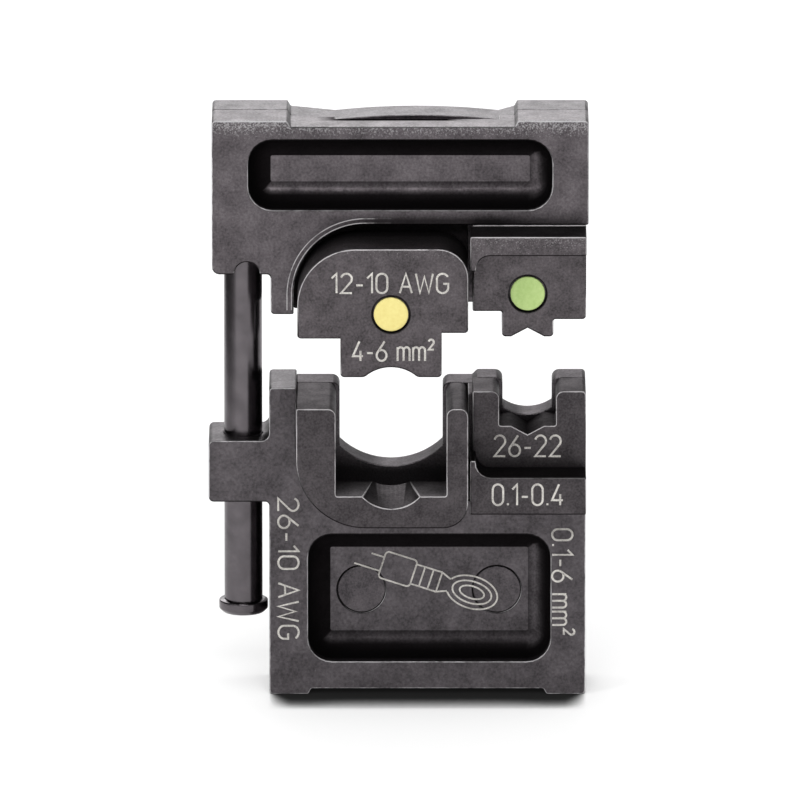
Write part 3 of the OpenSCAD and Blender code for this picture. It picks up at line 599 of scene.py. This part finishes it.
# The punches: blocks with noses that enter the nests, each held by a stud from the back plate.
# The flange behind the large punch lies deep in the arched recess and is painted near black as shade.
# Painted shade: the flange, dark rings round both colour marks, and the upper strip's top
FLANGE_FRONT = ((-9, 0.3, 29), (6, 0.5, 39), 0.85)
LARGE_RIM = ((-2.3, -5.795, 30.3), (1.2, -5.3, 33.8), 1.0)
SMALL_RIM = ((8.4, -1.595, 31.0), (11.9, -1.1, 34.4), 1.0)
UPPER_STRIP_TOP = ((5.4, -4.9, 38.05), (14.8, -1.5, 38.15), 0.9)
PUNCH_SCUFF = (35.5 * MM, 39.5 * MM)
punch_black = blackened("punch_black", (0.06, 0.054, 0.057), (0.138, 0.123, 0.131), (0.6, 0.58, 0.59),
                        rough=0.38, size=0.18 * MM, cover=1.0, bump=0.25, scuffed=PUNCH_SCUFF)
dress(eased("large_punch", BLOCK_EASE, painted_shade_boxes=[FLANGE_FRONT, LARGE_RIM]), "large_punch", "upper_die",
      punch_black)
dress(eased("small_punch", BLOCK_EASE, painted_shade_boxes=[SMALL_RIM, UPPER_STRIP_TOP]), "small_punch", "upper_die",
      punch_black)
for node in ("plate_pins", "punch_studs"):
    dress(eased(node, ROD_EASE), node, "upper_die", rod_black)


# The guide pin: turned and polished steel with a headed foot, blackened, held between the upper
# plates. Sliding in the lug has left fine lines round it.
PIN_AT = np.array([-12.2, 2.5, 0.0]) * MM
PIN_SIDES = 128
ACROSS = np.array([1.0, 0.0, 0.0])
AWAY = np.array([0.0, 1.0, 0.0])
UP = np.array([0.0, 0.0, 1.0])


def turned(name, profile, centre, u, v, sides):
    """A solid of revolution. Row i of the profile is (radius, height) in millimetres, the first and
    last on the axis. Point (i, j) = centre + radius (cos a u + sin a v) + height w, where
    a = 2 pi j / sides and w is the cross product of u and v."""
    radius, height = np.array(profile[1:-1]).T * MM
    turn = np.arange(sides) * 2 * math.pi / sides
    w = np.cross(u, v)
    spoke = np.cos(turn)[:, None] * u + np.sin(turn)[:, None] * v
    rows = centre + radius[:, None, None] * spoke + height[:, None, None] * w
    foot = centre + profile[0][1] * MM * w
    tip = centre + profile[-1][1] * MM * w
    points = np.vstack([rows.reshape(-1, 3), foot, tip])
    index = np.arange(len(radius) * sides).reshape(-1, sides)
    beside = np.roll(index, -1, 1)
    quads = np.stack([index[:-1], beside[:-1], beside[1:], index[1:]], -1).reshape(-1, 4)
    bottom = np.stack([np.full(sides, index.size), beside[0], index[0]], -1)
    top = np.stack([np.full(sides, index.size + 1), index[-1], beside[-1]], -1)
    mesh = bpy.data.meshes.new(name)
    mesh.from_pydata(points.tolist(), [], quads.tolist() + bottom.tolist() + top.tolist())
    mesh.polygons.foreach_set("use_smooth", np.ones(len(mesh.polygons), bool))
    mesh.set_sharp_from_angle(angle=CREASE_ANGLE)
    piece = bpy.data.objects.new(name, mesh)
    bpy.context.scene.collection.objects.link(piece)
    return piece


pin_profile = [(0, 6.0), (1.5, 6.0), (1.6, 6.02), (1.68, 6.08), (1.87, 6.27), (1.91, 6.32), (1.925, 6.38),
               (1.925, 6.9), (1.91, 6.96), (1.87, 7.0), (1.56, 7.0), (1.5, 7.03), (1.5, 7.1), (1.5, 15.0),
               (1.5, 25.0), (1.5, 35.0), (1.5, 40.6), (1.4, 40.75), (0, 40.75)]
PIN_SQUEEZE = (0.15, 0.15, 1)
PIN_LINES = 0.05 * MM
PIN_BANDS = 1.4 * MM
PIN_SATIN = (0.16, 0.3)
pin_skin = bpy.data.materials.new("pin_black")
pin_skin.use_nodes = True
tree = pin_skin.node_tree
tree.nodes.clear()
place = put(tree, "ShaderNodeTexCoord").outputs["Object"]
squeeze = put(tree, "ShaderNodeMapping", Vector=place, Scale=PIN_SQUEEZE)
rings = put(tree, "ShaderNodeTexNoise", Vector=squeeze.outputs[0], Scale=1 / PIN_LINES, Detail=2.0)
bands = put(tree, "ShaderNodeTexNoise", Vector=place, Scale=1 / PIN_BANDS, Detail=3.0)
speck = put(tree, "ShaderNodeGroup", node_tree=grain, Size=0.15 * MM)
tone = blend(tree, bands.outputs[0], (0.07, 0.063, 0.068), (0.17, 0.155, 0.165))
glint = blend(tree, sums(tree, "MULTIPLY", speck.outputs["Fleck"], 0.3), tone, (0.4, 0.39, 0.4))
satin = put(tree, "ShaderNodeMapRange", Value=rings.outputs[0], To_Min=PIN_SATIN[0], To_Max=PIN_SATIN[1])
relief = put(tree, "ShaderNodeBump", Height=rings.outputs[0], Strength=0.12, Distance=RELIEF / 2)
steel = put(tree, "ShaderNodeBsdfPrincipled", Base_Color=glint, Metallic=1.0,
            Roughness=satin.outputs[0], Normal=relief.outputs[0])
put(tree, "ShaderNodeOutputMaterial", Surface=steel.outputs[0])
dress(turned("guide_pin_turned", pin_profile, PIN_AT, ACROSS, AWAY, PIN_SIDES), "guide_pin", "upper_die",
      pin_skin)


# The colour marks: enamel run into the cup of each stud's end, where it has set in a low dome.
# Each: node, centre of its rear face and colour.
ENAMEL_SIDES = 96
enamel_profile = [(0, 0), (1.33, 0), (1.35, 0.02), (1.35, 0.29), (1.335, 0.315), (1.29, 0.332),
                  (1.1, 0.343), (0.8, 0.349), (0.4, 0.352), (0, 0.353)]
for node, rear, pale, deep in (
        ("yellow_mark", (-0.565, -5.37, 32.05), (0.89, 0.79, 0.3), (0.82, 0.7, 0.24)),
        ("green_mark", (10.14, -1.17, 32.7), (0.56, 0.73, 0.28), (0.44, 0.63, 0.2))):
    enamel = bpy.data.materials.new(node + "_enamel")
    enamel.use_nodes = True
    tree = enamel.node_tree
    tree.nodes.clear()
    speck = put(tree, "ShaderNodeGroup", node_tree=grain, Size=0.3 * MM)
    cover = put(tree, "ShaderNodeMapRange", Value=speck.outputs["Mottle"], To_Min=0.42, To_Max=0.3)
    relief = put(tree, "ShaderNodeBump", Height=speck.outputs["Height"], Strength=0.06, Distance=RELIEF)
    tint = blend(tree, speck.outputs["Mottle"], deep, pale)
    paint = put(tree, "ShaderNodeBsdfPrincipled", Base_Color=tint, Roughness=cover.outputs[0],
                Normal=relief.outputs[0])
    put(tree, "ShaderNodeOutputMaterial", Surface=paint.outputs[0])
    disc = turned(node + "_disc", enamel_profile, np.array(rear) * MM, ACROSS, UP, ENAMEL_SIDES)
    dress(disc, node, "upper_die", enamel)


# The size marks: wire ranges lasered into the faces as pale single strokes, drawn here as thin
# bands that stand just proud of the steel. Only the ranges that suit this kind of die are marked.
STROKE = 0.16
PROUD = 0.012
SUNK = 0.02
LETTER_GAP = 0.2
WORD_GAP = 0.42


def arc(x, z, across, up, first, last, steps=14):
    """Points of an ellipse arc about (x, z), from the angle first to last in degrees."""
    turn = np.radians(np.linspace(first, last, steps))
    return np.stack([x + across * np.cos(turn), z + up * np.sin(turn)], -1)


def run(*points):
    """Points of a straight or bent run."""
    return np.array(points, float)


def joined(*runs):
    """One stroke through several runs."""
    return np.vstack(runs)


# Each character: its width and its strokes, on a height of 1
two = joined(arc(0.27, 0.73, 0.27, 0.27, 165, -35), run((0.0, 0.0), (0.54, 0.0)))
CHARACTERS = {
    "0": (0.54, [joined(arc(0.27, 0.73, 0.27, 0.27, 0, 180), arc(0.27, 0.27, 0.27, 0.27, 180, 360),
                        run((0.54, 0.73)))]),
    "1": (0.26, [run((0, 0.76), (0.24, 1), (0.24, 0))]),
    "2": (0.54, [two]),
    "4": (0.56, [run((0.36, 1), (0, 0.24), (0.56, 0.24)), run((0.42, 0.52), (0.42, 0))]),
    "6": (0.54, [joined(run((0.44, 1)), arc(0.27, 0.28, 0.27, 0.28, 150, 478, 24))]),
    "-": (0.36, [run((0.02, 0.4), (0.34, 0.4))]),
    ".": (0.08, [run((0.04, 0), (0.04, 0.09))]),
    "A": (0.6, [run((0, 0), (0.3, 1), (0.6, 0)), run((0.1, 0.33), (0.5, 0.33))]),
    "W": (0.84, [run((0, 1), (0.2, 0), (0.42, 0.85), (0.64, 0), (0.84, 1))]),
    "G": (0.56, [joined(arc(0.28, 0.72, 0.28, 0.28, 25, 180), arc(0.28, 0.28, 0.28, 0.28, 180, 360),
                        run((0.56, 0.48), (0.32, 0.48)))]),
    "m": (0.66, [run((0, 0), (0, 0.7)), joined(arc(0.165, 0.53, 0.165, 0.17, 180, 0), run((0.33, 0))),
                 joined(arc(0.495, 0.53, 0.165, 0.17, 180, 0), run((0.66, 0)))]),
    "\u00b2": (0.3, [two * 0.52 + (0, 0.58)])}


def lettered(words, length, height):
    """Strokes of a line of characters, set to that length and height from the origin."""
    strokes = []
    x = 0.0
    for character in words:
        if character == " ":
            x += WORD_GAP
            continue
        width, parts = CHARACTERS[character]
        strokes += [part + (x, 0) for part in parts]
        x += width + LETTER_GAP
    return [stroke * (length / (x - LETTER_GAP), height) for stroke in strokes]


def banded(name, strokes, corner, along, upward, width):
    """Closed flat bands along strokes on a face. At point p of a stroke the section is a rectangle:
    p plus and minus half the width on the mitred normal, PROUD before the face and SUNK behind it.
    Strokes that cross are a little different in height, so that no two faces coincide."""
    outward = np.cross(along, upward)
    points = []
    faces = []
    for order, stroke in enumerate(strokes):
        closed = np.allclose(stroke[0], stroke[-1])
        path = stroke[:-1] if closed else stroke
        ahead = np.roll(path, -1, 0) - path
        behind = path - np.roll(path, 1, 0)
        if not closed:
            ahead[-1] = behind[-1]
            behind[0] = ahead[0]
        ahead /= np.linalg.norm(ahead, axis=1)[:, None]
        behind /= np.linalg.norm(behind, axis=1)[:, None]
        middle = ahead + behind
        middle /= np.linalg.norm(middle, axis=1)[:, None]
        reach = width / 2 / np.maximum((middle * ahead).sum(1), 0.5)
        side = np.stack([-middle[:, 1], middle[:, 0]], -1) * reach[:, None]
        left = path + side
        right = path - side
        flat = np.stack([left, right, right, left], 1)
        proud = PROUD * (1 + order % 3 / 4)
        lift = np.array([proud, proud, -SUNK, -SUNK])
        place = (flat[..., :1] * along + flat[..., 1:] * upward + lift[None, :, None] * outward)
        start = sum(len(part) for part in points)
        index = start + np.arange(len(path) * 4).reshape(-1, 4)
        after = np.roll(index, -1, 0)
        quads = np.stack([index, np.roll(index, -1, 1), np.roll(after, -1, 1), after], -1)
        if not closed:
            quads = quads[:-1]
            faces += [index[0][::-1].tolist(), index[-1].tolist()]
        faces += quads.reshape(-1, 4).tolist()
        points.append((np.array(corner) + place.reshape(-1, 3)) * MM)
    mesh = bpy.data.meshes.new(name)
    mesh.from_pydata(np.vstack(points).tolist(), [], faces)
    piece = bpy.data.objects.new(name, mesh)
    bpy.context.scene.collection.objects.link(piece)
    return piece


lasered = bpy.data.materials.new("lasered_grey")
lasered.use_nodes = True
tree = lasered.node_tree
tree.nodes.clear()
speck = put(tree, "ShaderNodeGroup", node_tree=grain, Size=0.1 * MM)
frost = blend(tree, speck.outputs["Mottle"], (0.28, 0.265, 0.25), (0.78, 0.75, 0.7))
chalk = put(tree, "ShaderNodeBsdfPrincipled", Base_Color=frost, Roughness=0.65)
put(tree, "ShaderNodeOutputMaterial", Surface=chalk.outputs[0])

# Each mark: words, lower left corner, length, height, body, and whether it reads downwards
DOWN = -UP
for name, words, corner, length, height, body, downwards in (
        ("mark_large_gauge", "12-10 AWG", (-5.2, -5.8, 33.8), 9.1, 1.56, "upper_die", False),
        ("mark_large_area", "4-6 mm\u00b2", (-3.55, -5.8, 28.35), 6.35, 1.56, "upper_die", False),
        ("mark_small_gauge", "26-22", (7.55, -1.6, 19.6), 5.2, 1.68, "lower_die", False),
        ("mark_small_area", "0.1-0.4", (7.4, -5.0, 16.5), 5.5, 1.68, "lower_die", False),
        ("mark_gauge_range", "26-10 AWG", (-9.44, -0.5, 15.9), 11.4, 1.6, "lower_die", True),
        ("mark_area_range", "0.1-6 mm\u00b2", (12.1, -0.5, 13.4), 8.6, 1.6, "lower_die", True)):
    along, upward = (DOWN, ACROSS) if downwards else (ACROSS, UP)
    mark = banded(name, lettered(words, length, height), corner, along, upward, STROKE)
    mark.data.materials.append(lasered)
    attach(mark, body)


# The terminal sign on the pocket floor: a plain slanted drawing of a ring terminal, lasered as
# the size marks are. It has a ring, a barrel with two crimp lines, a sleeve and a cable.
SIGN_STROKE = 0.13
SIGN_SCALE = 1.18
SIGN_TILT = math.radians(-18)
SIGN_AT = (5.8, 2.5, 7.5)
sign = [arc(0, 0, 1.75, 1.1, -155, 155, 40), arc(0, 0, 1.35, 0.75, 0, 360, 32),
        arc(0, 0, 0.85, 0.42, 0, 360, 28),
        run((-1.62, 0.42), (-2.3, 0.7), (-2.3, -0.7), (-1.62, -0.42)),
        run((-2.3, 0.7), (-4.1, 0.7), (-4.1, -0.7), (-2.3, -0.7)),
        run((-2.9, 0.7), (-2.9, -0.7)), run((-3.5, 0.7), (-3.5, -0.7)),
        joined(arc(-4.35, 0.7, 0.25, 0.25, 0, 90, 6), arc(-6.05, 0.7, 0.25, 0.25, 90, 180, 6),
               arc(-6.05, -0.7, 0.25, 0.25, 180, 270, 6), arc(-4.35, -0.7, 0.25, 0.25, 270, 360, 6)),
        run((-6.3, 0.5), (-7.2, 0.5)), run((-6.3, -0.5), (-8.1, -0.5))]
slant = np.array([(math.cos(SIGN_TILT), math.sin(SIGN_TILT)),
                  (-math.sin(SIGN_TILT), math.cos(SIGN_TILT))])
drawing = banded("terminal_sign", [SIGN_SCALE * stroke @ slant for stroke in sign], SIGN_AT, ACROSS, UP,
                 SIGN_STROKE)
drawing.data.materials.append(lasered)
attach(drawing, "lower_die")


# The arch highlight: two thin bright lines along the arched recess of the upper body, a painted
# highlight in the worn steel of the blocks. They stand just proud of the face and fade out where
# the arch levels off.
LIP_STROKE = 0.07
LIP_FOOT = 31.4
LIP_RISE = 32.6
LIP_RADIUS = 5.65
LIP_FADE = (-3.2, 0.3)
LIP_GAPS = (0.17, 0.52)
LIP_END = 2
lines = []
for gap in LIP_GAPS:
    reach = LIP_RADIUS + gap
    lines.append(joined(run((-reach, LIP_FOOT - LIP_RISE)), arc(0, 0, reach, reach, 180, 90, 40),
                        run((LIP_END, reach))))
arch_highlight = banded("arch_painted_highlight", lines, (-2.55, -1.6, LIP_RISE), ACROSS, UP, LIP_STROKE)
# Painted highlight: the lines take the worn colour through the edge attribute, fading out along X
along_x = column(arch_highlight.data.vertices, "co", width=3)[:, 0] / MM
worn = np.interp(along_x, LIP_FADE, (1.0, 0.0)).astype(np.float32)
arch_highlight.data.attributes.new("edge", "FLOAT", "POINT").data.foreach_set("value", worn)
arch_highlight.data.materials.append(block_black)
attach(arch_highlight, "upper_die")
